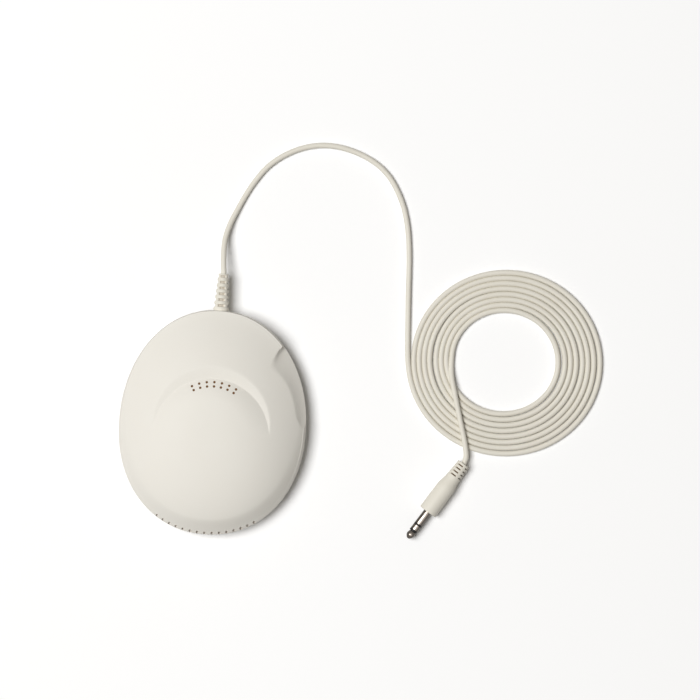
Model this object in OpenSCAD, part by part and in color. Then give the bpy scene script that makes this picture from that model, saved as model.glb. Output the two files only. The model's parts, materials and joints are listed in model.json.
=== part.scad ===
// Pillow speaker: a flat oval two-part housing with a small driver inside,
// a thin cord wound into a flat coil, and a moulded 3.5 mm jack plug.
// The origin is the centre of the housing's flat rear face. +Z points out of
// the grille side and +Y towards the cord's exit.

/* [Housing] */
// Width of the housing at its widest place
housing_w = 79; // [76:0.5:84]
// Length of the housing from the cord end to the foot
housing_l = 95; // [92:0.5:100]
// Thickness of the housing at the top of its dome
housing_h = 22.5; // [21.5:0.25:24]
// Height of the parting line above the rear face
parting_h = 7.5; // [7:0.25:8]
// Wall thickness of both covers
wall = 2; // [1.7:0.1:2.3]
// Radius of the rounded edge round the rear face
rear_edge_r = 6; // [4:0.5:6.5]
// Squareness of the oval, where 2 is an ellipse
oval_power = 2.1; // [2:0.05:2.3]
// Share by which the oval narrows towards the cord
oval_egg = 0.027; // [0:0.003:0.04]
// Width of the front cover's ledge at the housing's foot
ledge_w = 1.4; // [1.2:0.1:1.8]
// Width of the front cover's ledge at the cord's end
ledge_top_w = 0.5; // [0.4:0.05:0.8]
// Height of the ledge's outer edge above the parting line
ledge_h = 1.2; // [1:0.1:1.6]
// Rise of the ledge towards the foot of the rim
ledge_rise = 1; // [0.7:0.1:1.3]
// Flatness of the dome's top, where 2 is round
dome_power = 2.4; // [2.2:0.1:2.8]
// Falling off of the dome towards the cord, where 1 is even
top_full = 1.3; // [1.1:0.05:1.4]
// Falling off of the dome towards the foot, where a smaller number is fuller
foot_full = 0.6; // [0.5:0.05:0.8]
// Rise of the ledge from the foot to the cord's end
rim_lift = 2.6; // [2.4:0.1:3]
// Slope of the rim round the dome, as rise over run
rim_slope = 1.15; // [1:0.05:1.4]
// Rounding between the rim's slope and the dome
rim_soft = 0.7; // [0.4:0.1:1]

/* [Crescent recess] */
// Radius of both arcs of the crescent
crescent_r = 24.5; // [23:0.25:26]
// Width of the crescent at its middle
crescent_w = 5; // [4:0.25:6]
// Depth of the valley at the crescent's middle
crescent_depth = 1.8; // [1.2:0.1:2]
// Distance of the inner arc's centre below the housing's centre
crescent_drop = 6; // [5:0.25:7]
// Width of the slope that rises from the valley to the dome
slope_w = 9; // [7:0.5:11]

/* [Sound holes] */
// Number of holes in each of the two grille rows
grille_count = 7; // [3:2:7]
// Radius of the upper grille row
grille_r = 19.2; // [18.8:0.1:19.8]
// Distance between the two grille rows
grille_gap = 1.85; // [1.6:0.05:2.2]
// Angle between two grille holes
grille_step = 9.6; // [8.5:0.1:10]
// Diameter of a grille hole
grille_d = 1.1; // [0.9:0.05:1.2]
// Number of holes in the row along the foot
foot_count = 15; // [5:2:15]
// Angle between two foot holes, seen from the housing's centre
foot_step = 3.82; // [3.5:0.02:4]
// Diameter of a foot hole
foot_d = 1; // [0.8:0.05:1.1]
// Slope of the foot holes, downwards and inwards
foot_tilt = 20; // [15:1:22]

/* [Finger scoop] */
// Radius of the ball that presses the scoop's round upper end
scoop_r = 13.3; // [12.5:0.1:14]
// Radius of the ball that presses the scoop's shallow lower end
scoop_low_r = 17.8; // [17:0.1:18.5]

/* [Driver] */
// Diameter of the driver over its flange
driver_d = 50; // [49:0.25:50.5]
// Distance of the driver's centre below the housing's centre
driver_drop = 2; // [1:0.25:3]
// Space between the rear cover's floor and the yoke
floor_gap = 0.9; // [0.3:0.1:1.2]
// Thickness of the yoke's plate and of the top plate
plate_t = 1.2; // [1:0.1:1.4]
// Diameter of the magnet
magnet_d = 25; // [23:0.5:27]
// Share of the height between yoke and flange that the magnet takes
magnet_share = 0.41; // [0.36:0.01:0.44]
// Diameter of the pole
pole_d = 11.8; // [11:0.1:12.4]
// Radial air gap on each side of the voice coil
coil_gap = 0.2; // [0.15:0.05:0.3]
// Thickness of the voice coil's wall
coil_t = 0.6; // [0.4:0.05:0.7]
// Thickness of the basket's sheet steel
sheet_t = 0.8; // [0.6:0.05:0.9]
// Width of the basket's flange
flange_w = 2.6; // [2.2:0.1:3]
// Thickness of the diaphragm film
film_t = 0.2; // [0.15:0.05:0.3]
// Thickness of the foam gasket
gasket_t = 0.8; // [0.6:0.1:1]
// Thickness of the grille cloth
cloth_t = 0.3; // [0.2:0.05:0.4]

/* [Screws] */
// Distance of the case screws from the centre line
case_x = 21; // [20:0.25:22]
// Distance of the upper case screws above the centre
case_top_y = 29; // [28:0.25:30]
// Distance of the lower case screws below the centre
case_low_y = 31; // [30:0.25:32]
// Diameter of the case screws
case_screw_d = 2.6; // [2.2:0.1:3]
// Length of the case screws under the head
case_screw_l = 8; // [7:0.5:9]
// Diameter of the clamp screws
clamp_screw_d = 2; // [1.8:0.1:2.2]
// Length of the clamp screws under the head
clamp_screw_l = 4; // [3.6:0.1:4.4]
// Diameter of the clamp washers
washer_d = 6.4; // [6:0.1:7]
// Thickness of the clamp washers
washer_t = 0.6; // [0.5:0.05:0.8]

/* [Cord] */
// Diameter of the cord
cord_d = 2.3; // [2.1:0.05:2.5]
// Length of the strain relief outside the housing
relief_l = 15.5; // [13:0.5:18]
// Diameter of the strain relief at the housing
relief_d = 6.6; // [6:0.1:7]
// Diameter of the strain relief at its tip
relief_tip_d = 4.4; // [4:0.1:5]
// Number of slotted rings on the strain relief
relief_rings = 6; // [4:1:7]
// Diameter of the flange that the covers hold
relief_flange_d = 9.6; // [9:0.1:10]
// Thickness of that flange
relief_flange_t = 1.6; // [1.2:0.1:2]
// Outer radius of the coil
coil_out_r = 41; // [39:0.25:42]
// Inner radius of the coil
coil_in_r = 20.9; // [19:0.25:22]
// Diameter of an insulated core inside the housing
core_d = 0.9; // [0.8:0.05:1.1]

/* [Plug] */
// Diameter of the plug's moulded body
plug_d = 8; // [7.4:0.1:9]
// Length of the plug's moulded body with its ribbed tail
plug_l = 25.4; // [24:0.2:28]
// Diameter of the ribbed tail where the cord enters
tail_d = 5.3; // [4.8:0.1:5.6]
// Length of the ribbed tail
tail_l = 7.4; // [6.8:0.1:8]
// Number of slot rows on the tail
tail_rows = 4; // [3:1:4]
// Diameter of the jack's pin
pin_d = 3.5; // [3.5:0.1:3.5]
// Length of the jack's pin outside the plug
pin_l = 14; // [14:0.5:15]
// Length of the sleeve contact outside the plug
sleeve_l = 6.4; // [5.5:0.1:6.6]
// Length of the ring contact
ring_l = 2.3; // [2:0.1:2.6]
// Width of each insulating band
band_l = 0.8; // [0.5:0.05:0.9]

/* [Hidden] */
eps = 0.01;
fine = 64;

// Rays and rings of the two moulded covers
outer_rays = 120;
inner_rays = 48;
outer_steps = [0.2, 0.38, 0.52, 0.62, 0.7, 0.76, 0.82, 0.88, 0.94, 1];
inner_steps = [0.35, 0.6, 0.74, 0.87, 1];
slope_steps = [1, 0.72, 0.46, 0.24, 0.08, 0];
bowl_radii = [9, 3];
edge_gap = 0.5;
edge_steps = [0, 0.35, 0.6, 0.78, 0.9, 0.97, 1];
inner_edge_steps = [0, 0.5, 0.85, 1];

// Heights of the front cover's outer surface
ledge_z = parting_h + ledge_h;
foot_z = ledge_z + ledge_rise;
land_w = ledge_w + wall;

// Seam: a lip on the front cover sits in a groove of the rear cover
lip_w = 0.8;
lip_in = (land_w - lip_w) / 2;
lip_h = 1.2;
lip_clear = 0.1;

// Stack of the driver, hung from the seat ring under the dome down to its flange
driver_y = -driver_drop;
driver_r = driver_d / 2;
seat_gap = 1;
seat_z = dome_z([driver_r, driver_y], wall) - seat_gap;
cloth_z = seat_z - cloth_t;
gasket_z = cloth_z - gasket_t;
film_z = gasket_z - film_t;
flange_z = film_z - sheet_t;

// Motor of the driver, shared out between the rear cover's floor and the flange
yoke_z = wall + floor_gap;
motor_h = flange_z - yoke_z - 2 * plate_t;
magnet_t = magnet_share * motor_h;
basket_depth = motor_h - magnet_t;
magnet_z = yoke_z + plate_t;
top_plate_z = magnet_z + magnet_t;
basket_z = top_plate_z + plate_t;
pole_r = pole_d / 2;
coil_r = pole_r + coil_gap;
plate_hole_r = coil_r + coil_t + coil_gap;
magnet_set_back = 0.6;
magnet_hole_r = plate_hole_r + magnet_set_back;
magnet_r = magnet_d / 2;
yoke_clear = 0.8;
yoke_rim_r = magnet_r + yoke_clear;
rib_l = 14;

// Basket, diaphragm and the seat ring round them
seat_in_r = driver_r - flange_w;
driver_clear = 0.2;
ring_w = 1.2;
basket_foot_out = 0.3;
basket_foot_r = magnet_r + basket_foot_out;
basket_hole_out = 1.5;
basket_hole_r = plate_hole_r + basket_hole_out;
basket_top_in = 0.4;
basket_top_r = seat_in_r - basket_top_in;
window_w = 6;
window_span = 60;
cone_share = 0.47;
cone_h = cone_share * (basket_depth + sheet_t);
neck_z = film_z - cone_h;
cap_share = 0.66;
cap_rise = cap_share * cone_h;
roll_w = 4;
roll_in_r = seat_in_r - roll_w;
roll_rise = 0.6;

// Clamps that hold the driver's flange
clamp_angles = [45, 135, 270];
clamp_boss_r = 2.3;
clamp_clear = 0.3;
clamp_reach = driver_r + clamp_clear + clamp_boss_r;
clamp_head_r = 1.9;
clamp_head_h = 1.2;
clamp_tip_clear = 0.5;
washer_clear = 0.2;
clamp_hole_z = flange_z - washer_t + clamp_screw_l + clamp_tip_clear;

// Case screws in their wells
case_boss_r = 3.2;
well_r = 2.7;
well_h = 2.6;
well_wall = 1.2;
case_joint_z = 5.5;
case_head_r = 2.3;
case_head_h = 1.5;
shank_clear = 0.2;
thread_clear = 1;

// Seat of the strain relief in the two covers
relief_y = housing_l / 2;
relief_fit = 0.05;
flange_y = relief_y - land_w - relief_flange_t;
seat_block_w = 15;
block_wall = 1.8;
block_y = flange_y - block_wall;
cord_r = cord_d / 2;
cord_sides = 8;
tail_in = 5.5;
tail_end_y = flange_y - tail_in;
relief_tip_share = 0.25;
tip_rim = 0.2;
ring_steps = [-0.87, -0.48, 0, 0.48, 0.87];
ring_dip = 0.15;
slot_share = 0.38;
slot_span = 62;
slot_reach = 6;
slot_floor = 0.35;

// Row of balls that press the scoop: angle, distance outside the oval and height of each end
scoop_top_a = 40.4;
scoop_top_out = 3.8;
scoop_top_h = 13.1;
scoop_foot_a = 17.2;
scoop_foot_out = 10.6;
scoop_foot_h = 14.9;
scoop_top = concat(polar(oval_r(scoop_top_a) + scoop_top_out, scoop_top_a), [ledge_z + scoop_top_h]);
scoop_foot = concat(polar(oval_r(scoop_foot_a) + scoop_foot_out, scoop_foot_a),
    [ledge_z + scoop_foot_h]);
scoop_balls = 12;
scoop_soft = 0.5;

// Terminal board and leads
board_w = 10;
board_l = 4.4;
board_t = 1;
board_clear = 0.3;
board_y = driver_y + seat_in_r + board_clear;
board_z = flange_z - board_t;
lug_x = 2.6;
lug_in = 2.6;
lug_y = board_y + lug_in;
joint_r = 0.9;
joint_h = 0.6;
core_r = core_d / 2;
lead_r = 0.25;

// Coil of cord
coil_x = 123;
coil_y = 34;

// Plug
plug_x = 107.3;
plug_y = -9.9;
plug_a = 237.2;
plug_r = plug_d / 2;
pin_r = pin_d / 2;
collar_r = plug_r - 1.1;
collar_t = 0.6;
collar_sunk = 0.3;
swell_l = 6;
tail_flare = 0.4;
rim_r = 0.4;
crimp_r = 1.5;
stem_r = 0.9;
rod_r = 0.6;
anchor_l = 4;

// Route of the cord from the strain relief to the coil, as x, y and lift
run_lifts = [[-0.3, 67, 6], [-0.6, 71, 5.1], [-0.7, 75, 3.9], [-0.3, 79.5, 2.5],
    [1.4, 85.5, 1.1], [4, 91.5, 0.3], [7, 97.8, 0], [10.6, 104, 0], [15, 109.8, 0],
    [20.6, 114.5, 0], [27, 118, 0], [34, 120.2, 0], [41, 120.8, 0], [48, 119.9, 0],
    [55, 117.7, 0], [61.5, 114.3, 0], [67, 109.4, 0], [71, 103.4, 0], [74, 97, 0],
    [76, 90, 0], [77.2, 83, 0], [77.9, 76, 0], [78.3, 69, 0], [78.6, 62, 0], [79, 55, 0],
    [79.4, 48, 0], [79.8, 41, 0], [80.3, 34.5, 0], [81.2, 28.5, 0], [82.6, 23, 0],
    [84.4, 18, 0]];
run_start = [[0, relief_y + relief_l, parting_h], [0, relief_y + relief_l + 1, parting_h]];
run_points = concat(run_start, [for (p = run_lifts) [p.x, p.y, p.z + cord_r]]);

// Route of the cord's end over the coil to the plug, as x, y and lift
end_lifts = [[101, 31.5, 0], [101.2, 26.2, 0], [102.2, 20.6, 0], [103.7, 15, 0],
    [105.3, 9.5, 0], [106.8, 4.5, 0], [107.8, 0, 0.1], [108.4, -4, 0.3], [108.4, -7, 0.5]];
flat_r = cord_r * cos(180 / cord_sides);
plug_dir = [cos(plug_a), sin(plug_a), 0];
plug_base = [plug_x, plug_y, plug_r];
end_points = concat([for (p = end_lifts) [p.x, p.y, p.z + cord_d + flat_r]],
    [plug_base - plug_dir, plug_base]);

// Routes of the two cores and of the two leads to the voice coil
function core_points(side) = [[side * 0.55, tail_end_y, parting_h],
    [side * 0.55, tail_end_y - 1, parting_h], [side * 2, tail_end_y - 4, parting_h - 0.9],
    [side * 3.1, tail_end_y - 7, parting_h - 0.8], [side * 3.2, lug_y + 1.6, parting_h + 0.5],
    [side * lug_x, lug_y, board_z - joint_h - 1.6], [side * lug_x, lug_y, board_z - joint_h]];
function lead_points(side) = [[side * 1.2, board_y + 0.7, board_z - 0.15],
    [side * 1.2, board_y + 0.2, board_z - basket_depth * 0.2],
    [side * 1.1, board_y - 2, board_z - basket_depth * 0.28],
    [side, driver_y + roll_in_r * 0.92, basket_z + basket_depth * 0.51],
    [side * 0.9, driver_y + roll_in_r * 0.71, basket_z + basket_depth * 0.51],
    [side * 0.8, driver_y + roll_in_r * 0.49, basket_z + basket_depth * 0.44],
    [side * 0.8, driver_y + coil_r + coil_t, basket_z + basket_depth * 0.37]];

// Oval outline of the housing as a radius for each angle
function half_w(a) = housing_w / 2 * (1 - oval_egg * sin(a));
function oval_r(a) = pow(pow(abs(cos(a)) / half_w(a), oval_power)
    + pow(abs(sin(a)) * 2 / housing_l, oval_power), -1 / oval_power);
function polar(r, a) = [r * cos(a), r * sin(a)];
function ray(i, rays) = 360 * i / rays;

// Ledge and rim, which change from the cord's end to the foot
function towards_foot(a) = (1 - sin(a)) / 2;
function ledge(a) = ledge_top_w + (ledge_w - ledge_top_w) * towards_foot(a);
function lift(a) = rim_lift * pow(1 - towards_foot(a), 3);
function dome_r(a, inset) = oval_r(a) - ledge(a) - inset;

// Front surface: a dome cut off by the rim's slope, and pressed in by the scoop's balls
function soft_min(a, b, w) = min(a, b) - pow(max(w - abs(a - b), 0), 2) / (4 * w);
function dome_z(p, inset) = let (a = atan2(p.y, p.x), reach = dome_r(a, inset),
    r = min(reach, norm([p.x, p.y])), full = top_full + (foot_full - top_full) * towards_foot(a),
    dome = (housing_h - foot_z - lift(a)) * pow(1 - pow(r / reach, dome_power), full))
    foot_z + lift(a) - inset + max(0, soft_min(dome, rim_slope * (reach - r), rim_soft));
function ball_z(p, t, inset) = let (c = scoop_top * (1 - t) + scoop_foot * t,
    r = scoop_r * (1 - t) + scoop_low_r * t + inset,
    deep = r * r - pow(p.x - c.x, 2) - pow(p.y - c.y, 2)) deep > 0 ? c.z - sqrt(deep) : 2 * housing_h;
function scoop_z(p, inset) = min([for (k = [0 : scoop_balls]) ball_z(p, k / scoop_balls, inset)]);
function front_z(p, inset) = soft_min(dome_z(p, inset), scoop_z(p, inset), scoop_soft);
function crescent_out(a) = crescent_w * sin(a)
    + sqrt(crescent_r * crescent_r - pow(crescent_w * cos(a), 2));
function crescent_gap(a) = max(0, crescent_out(a) - crescent_r);
function valley(a) = crescent_depth * crescent_gap(a) / crescent_w;
function crescent_point(r, a) = polar(r, a) - [0, crescent_drop];

// One ring of points round the cover, as a fixed number of rays
function slope_ring(u, inset, rays) = [for (i = [0 : rays - 1]) let (a = ray(i, rays),
    p = crescent_point(crescent_r - u * slope_w, a))
    [p.x, p.y, front_z(p, inset) - valley(a) * pow(1 - u, 2)]];
function bowl_ring(r, inset, rays) = [for (i = [0 : rays - 1])
    let (p = crescent_point(r, ray(i, rays))) [p.x, p.y, front_z(p, inset)]];
function edge_point(a) = crescent_point(crescent_r + max(crescent_gap(a), edge_gap), a);
function dome_ring(t, inset, rays) = [for (i = [0 : rays - 1]) let (a = ray(i, rays),
    p = edge_point(a) * (1 - t) + polar(dome_r(a, inset), a) * t)
    [p.x, p.y, front_z(p, inset)]];
function oval_ring(inset, z, rays) = [for (i = [0 : rays - 1]) let (a = ray(i, rays),
    p = polar(oval_r(a) - inset, a)) [p.x, p.y, z]];
function ledge_ring(rays) = [for (i = [0 : rays - 1]) let (a = ray(i, rays), p = polar(oval_r(a), a))
    [p.x, p.y, min(ledge_z + lift(a), scoop_z(p, 0))]];
function land_ring(inset, z, rays) = [for (i = [0 : rays - 1]) let (a = ray(i, rays),
    p = polar(dome_r(a, inset), a)) [p.x, p.y, z]];

// A closed skin over rings of equal length, each anticlockwise, from the bottom up
function middle(ring) = [for (p = ring) 1] * ring / len(ring);
module skin(rings) {
    n = len(rings[0]);
    top = len(rings) - 1;
    hub = n * (top + 1);
    points = concat([for (r = rings) each r], [middle(rings[0]), middle(rings[top])]);
    sides = [for (k = [0 : top - 1], i = [0 : n - 1]) let (j = (i + 1) % n, low = k * n, up = low + n)
        each [[low + i, up + i, up + j], [low + i, up + j, low + j]]];
    ends = [for (i = [0 : n - 1]) let (j = (i + 1) % n)
        each [[hub, i, j], [hub + 1, top * n + j, top * n + i]]];
    polyhedron(points, concat(sides, ends));
}

// Solid under the front surface, offset inwards by an inset
module front_form(inset, low_z, rays) {
    steps = inset > 0 ? inner_steps : outer_steps;
    rings = concat(
        inset > 0 ? [land_ring(inset, low_z, rays)] : [oval_ring(0, low_z, rays), ledge_ring(rays)],
        [for (i = [len(steps) - 1 : -1 : 0]) dome_ring(steps[i], inset, rays)],
        [dome_ring(0, inset, rays)],
        [for (i = [len(slope_steps) - 1 : -1 : 0]) slope_ring(slope_steps[i], inset, rays)],
        [for (r = bowl_radii) bowl_ring(r, inset, rays)]);
    skin(rings);
}

// Solid of the rear cover's form, drawn in by an inset and raised by a lift
module rear_form(inset, lift, high_z, rays) {
    r = rear_edge_r - lift;
    steps = inset > 0 ? inner_edge_steps : edge_steps;
    skin(concat([for (k = steps) oval_ring(inset + r * (1 - sin(90 * k)),
        lift + r * (1 - cos(90 * k)), rays)], [oval_ring(inset, high_z, rays)]));
}

// Flat oval ring between two insets
module oval_band(inset_out, inset_in, z, h) {
    translate([0, 0, z]) linear_extrude(h) difference() {
        polygon([for (p = oval_ring(inset_out, 0, inner_rays)) [p.x, p.y]]);
        polygon([for (p = oval_ring(inset_in, 0, inner_rays)) [p.x, p.y]]);
    }
}

// Tube through a list of points, none of whose steps runs along the side direction
module tube(points, r, sides, side_dir) {
    last = len(points) - 1;
    skin([for (i = [0 : last]) let (d = points[min(last, i + 1)] - points[max(0, i - 1)],
        t = d / norm(d), s = cross(t, side_dir), w = s / norm(s), u = cross(t, w))
        [for (k = [0 : sides - 1]) let (a = 360 * (k + 0.5) / sides)
            points[i] + r * cos(a) * w + r * sin(a) * u]]);
}

// Ring with a round hole, standing on z
module ring(r_out, r_in, z, h) {
    translate([0, 0, z]) difference() {
        cylinder(r = r_out, h = h, $fn = fine);
        translate([0, 0, -eps]) cylinder(r = r_in, h = h + 2 * eps, $fn = fine);
    }
}

// Rod along +Y at the parting line
module cord_rod(r, from_y, to_y) {
    translate([0, from_y, parting_h]) rotate([-90, 0, 0]) cylinder(r = r, h = to_y - from_y, $fn = fine);
}

// Rows of four slots round a rod along +Z, which leave four spines
module slot_rows(rows, pitch, first, slot_w, core_r) {
    for (k = [0 : rows - 1], a = [0 : 90 : 270])
        rotate([0, 0, a - slot_span / 2]) rotate_extrude(angle = slot_span, $fn = fine)
            translate([core_r, first + k * pitch]) square([slot_reach, slot_w]);
}

// Places of the case screws and of the driver's clamps
module at_case_screws() {
    for (x = [-case_x, case_x], y = [case_top_y, -case_low_y]) translate([x, y, 0]) children();
}
module at_driver() {
    translate([0, driver_y, 0]) children();
}
module at_clamps() {
    at_driver() for (a = clamp_angles) rotate([0, 0, a]) translate([clamp_reach, 0, 0]) children();
}
module at_plug() {
    translate([plug_x, plug_y, plug_r]) rotate([0, 0, plug_a]) rotate([0, 90, 0]) children();
}

// Seat of the strain relief's flange and neck, and the way for the cord
module relief_space() {
    cord_rod(relief_d / 2 + relief_fit, relief_y - land_w - eps, relief_y + relief_l);
    cord_rod(relief_flange_d / 2 + relief_fit, flange_y - relief_fit, relief_y - land_w + relief_fit);
    cord_rod(cord_r + 2 * relief_fit, block_y - wall, flange_y);
}
module seat_block(low_z, high_z) {
    translate([-seat_block_w / 2, block_y, low_z])
        cube([seat_block_w, relief_y - block_y, high_z - low_z]);
}

// Ribs and bosses of the front cover, before they are trimmed to its inside
module front_inner() {
    at_driver() difference() {
        cylinder(r = driver_r + driver_clear + ring_w, h = housing_h, $fn = fine);
        cylinder(r = driver_r + driver_clear, h = seat_z, $fn = fine);
        cylinder(r = seat_in_r, h = housing_h, $fn = fine);
        cylinder(r = driver_r + 2 * ring_w, h = film_z - sheet_t / 2, $fn = fine);
    }
    at_clamps() translate([0, 0, flange_z]) cylinder(r = clamp_boss_r, h = housing_h, $fn = fine);
    at_case_screws() cylinder(r = case_boss_r, h = housing_h, $fn = fine);
    seat_block(parting_h, housing_h);
}
module grille_holes() {
    at_driver() for (r = [grille_r, grille_r - grille_gap], k = [0 : grille_count - 1])
        rotate([0, 0, 90 + grille_step * (k - (grille_count - 1) / 2)]) translate([r, 0, seat_z])
            cylinder(d = grille_d, h = housing_h, $fn = 24);
}
module foot_holes() {
    for (k = [0 : foot_count - 1]) let (a = -90 + foot_step * (k - (foot_count - 1) / 2))
        rotate([0, 0, a]) translate([oval_r(a) - ledge(a) / 2, 0, ledge_z + lift(a) + ledge_rise / 2])
            rotate([0, 90 - foot_tilt, 0]) translate([0, 0, -land_w - foot_d])
                cylinder(d = foot_d, h = land_w + 2 * ledge_w + foot_d, $fn = 24);
}
module front_cover() {
    color("ivory") difference() {
        union() {
            difference() {
                front_form(0, parting_h, outer_rays);
                front_form(wall, case_joint_z, inner_rays);
                at_clamps() translate([0, 0, flange_z - washer_t - washer_clear])
                    cylinder(r = washer_d / 2 + washer_clear, h = washer_t + 2 * washer_clear, $fn = fine);
            }
            intersection() {
                front_form(wall / 2, case_joint_z, inner_rays);
                front_inner();
            }
            oval_band(lip_in, lip_in + lip_w, parting_h - lip_h, 2 * lip_h);
        }
        grille_holes();
        foot_holes();
        relief_space();
        at_case_screws() cylinder(d = case_screw_d, h = well_h + case_screw_l + thread_clear, $fn = fine);
        at_clamps() cylinder(d = clamp_screw_d, h = clamp_hole_z, $fn = fine);
    }
}

// Wells, cord seat, yoke rim and stiffening ribs of the rear cover
module rear_inner() {
    at_case_screws() cylinder(r = well_r + well_wall, h = case_joint_z, $fn = fine);
    seat_block(wall / 2, parting_h);
    at_driver() ring(yoke_rim_r + ring_w, yoke_rim_r, wall / 2, yoke_z + plate_t - wall / 2);
    at_driver() for (a = [45 : 90 : 315]) rotate([0, 0, a])
        translate([yoke_rim_r + ring_w / 2, -ring_w / 2, wall / 2]) cube([rib_l, ring_w, wall]);
}
module rear_cover() {
    color("ivory") difference() {
        union() {
            difference() {
                rear_form(0, 0, parting_h, outer_rays);
                rear_form(land_w, wall, parting_h + wall, inner_rays);
            }
            intersection() {
                rear_form(wall / 2, wall / 2, parting_h, inner_rays);
                rear_inner();
            }
        }
        oval_band(lip_in - lip_clear, lip_in + lip_w + lip_clear, parting_h - lip_h - lip_clear,
            2 * lip_h);
        relief_space();
        at_case_screws() {
            translate([0, 0, -eps]) cylinder(r = well_r, h = well_h + eps, $fn = fine);
            cylinder(d = case_screw_d + 2 * shank_clear, h = parting_h, $fn = fine);
        }
    }
}

// Pan head screw that points up, with its head's bearing face at z = 0
module screw(head_r, head_h, shank_d, shank_l) {
    tip_l = shank_d / 2;
    difference() {
        rotate_extrude($fn = fine) polygon([[0, -head_h], [head_r * 0.7, -head_h],
            [head_r, -head_h * 0.55], [head_r, 0], [shank_d / 2, 0], [shank_d / 2, shank_l - tip_l],
            [shank_d / 8, shank_l], [0, shank_l]]);
        for (a = [0, 90]) rotate([0, 0, a]) translate([-head_r * 0.5, -head_r * 0.12, -head_h - eps])
            cube([head_r, head_r * 0.24, head_h * 0.5]);
    }
}
module case_screws() {
    color("silver") at_case_screws() translate([0, 0, well_h])
        screw(case_head_r, case_head_h, case_screw_d, case_screw_l);
}

// Driver, from the grille side down
module grille_cloth() {
    color("saddlebrown") at_driver() translate([0, 0, cloth_z])
        cylinder(r = driver_r, h = cloth_t, $fn = fine);
}
module speaker_gasket() {
    color("dimgray") at_driver() ring(driver_r, seat_in_r, gasket_z, gasket_t);
}
module speaker_basket() {
    wall_r = sheet_t * 0.7;
    color("silver") at_driver() difference() {
        rotate_extrude($fn = fine) polygon([[basket_hole_r, basket_z], [basket_foot_r, basket_z],
            [basket_top_r, flange_z], [driver_r, flange_z], [driver_r, film_z],
            [basket_top_r - wall_r, film_z], [basket_foot_r - wall_r, basket_z + sheet_t],
            [basket_hole_r, basket_z + sheet_t]]);
        for (a = [90 : 90 : 360]) rotate([0, 0, a - window_span / 2])
            rotate_extrude(angle = window_span, $fn = fine)
                translate([basket_foot_r + sheet_t, basket_z]) square([window_w, basket_depth + sheet_t]);
    }
}
function film_height(r) = r < coil_r ? neck_z + cap_rise * (1 - pow(r / coil_r, 2))
    : r < coil_r + coil_t ? neck_z
    : r < roll_in_r ? neck_z + (film_z - neck_z) * (r - coil_r - coil_t) / (roll_in_r - coil_r - coil_t)
    : r < seat_in_r ? film_z + roll_rise * sin(180 * (r - roll_in_r) / (seat_in_r - roll_in_r))
    : film_z;
module speaker_diaphragm() {
    radii = concat([for (k = [0 : 5]) coil_r * k / 6], [coil_r, coil_r + coil_t],
        [for (k = [0 : 8]) roll_in_r + (seat_in_r - roll_in_r) * k / 8], [driver_r - film_t]);
    top = [for (r = radii) [r, film_height(r) + film_t]];
    low = [for (k = [len(radii) - 1 : -1 : 0]) [radii[k], film_height(radii[k])]];
    color("gray") at_driver() rotate_extrude($fn = fine) polygon(concat(low, top));
}
module voice_coil() {
    low_z = top_plate_z - coil_gap;
    color("peru") at_driver() ring(coil_r + coil_t, coil_r, low_z, neck_z - low_z);
}
module speaker_top_plate() {
    color("gainsboro") at_driver() ring(magnet_r, plate_hole_r, top_plate_z, plate_t);
}
module speaker_magnet() {
    color("dimgray") at_driver() ring(magnet_r, magnet_hole_r, magnet_z, magnet_t);
}
module speaker_yoke() {
    color("gainsboro") at_driver() translate([0, 0, yoke_z]) {
        cylinder(r = magnet_r, h = plate_t, $fn = fine);
        cylinder(r = pole_r, h = basket_z - yoke_z, $fn = fine);
    }
}
module terminal_board() {
    color("darkgoldenrod") translate([-board_w / 2, board_y, board_z]) cube([board_w, board_l, board_t]);
}
module solder_joints() {
    color("lightgray") for (x = [-lug_x, lug_x]) translate([x, lug_y, board_z - joint_h])
        cylinder(r1 = joint_r * 0.6, r2 = joint_r, h = joint_h, $fn = fine);
}
module coil_leads() {
    color("orange") for (side = [-1, 1]) tube(lead_points(side), lead_r, cord_sides, [1, 0, 0]);
}
module clamp_washers() {
    color("silver") at_clamps() ring(washer_d / 2, clamp_screw_d / 2, flange_z - washer_t, washer_t);
}
module clamp_screws() {
    color("silver") at_clamps() translate([0, 0, flange_z - washer_t])
        screw(clamp_head_r, clamp_head_h, clamp_screw_d, clamp_screw_l);
}

// Leads inside the housing and the cord outside it
module core_wire_a() {
    color("red") tube(core_points(-1), core_r, cord_sides, [1, 0, 0]);
}
module core_wire_b() {
    color("black") tube(core_points(1), core_r, cord_sides, [1, 0, 0]);
}
module cord_tail() {
    color("ivory") cord_rod(cord_r, tail_end_y, relief_y + relief_l);
}
module strain_relief() {
    pitch = relief_l / (relief_rings + relief_tip_share);
    taper = (relief_d - relief_tip_d) / 2 / relief_l;
    half_ring = pitch * (1 - slot_share) / 2;
    rings = [for (k = [0 : relief_rings - 1], f = ring_steps) let (z = k * pitch + half_ring * (1 + f))
        [relief_d / 2 - taper * z - ring_dip * f * f, z]];
    color("ivory") translate([0, relief_y, parting_h]) rotate([-90, 0, 0]) difference() {
        union() {
            rotate_extrude($fn = fine) polygon(concat([[0, 0]], rings,
                [[relief_tip_d / 2, relief_l - tip_rim], [relief_tip_d / 2 - tip_rim, relief_l],
                [0, relief_l]]));
            translate([0, 0, -land_w]) cylinder(d = relief_d, h = land_w + half_ring, $fn = fine);
            translate([0, 0, -land_w - relief_flange_t]) cylinder(d = relief_flange_d, h = relief_flange_t,
                $fn = fine);
        }
        translate([0, 0, -relief_y]) cylinder(r = cord_r, h = 2 * relief_y, $fn = fine);
        slot_rows(relief_rings, pitch, pitch * (1 - slot_share), pitch * slot_share, cord_r + slot_floor);
    }
}
module cord_run() {
    color("ivory") difference() {
        tube(run_points, cord_r, cord_sides, [0, 0, 1]);
        translate([coil_x, coil_y, -cord_d]) cylinder(r = coil_out_r, h = 3 * cord_d, $fn = fine);
    }
}
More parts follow.
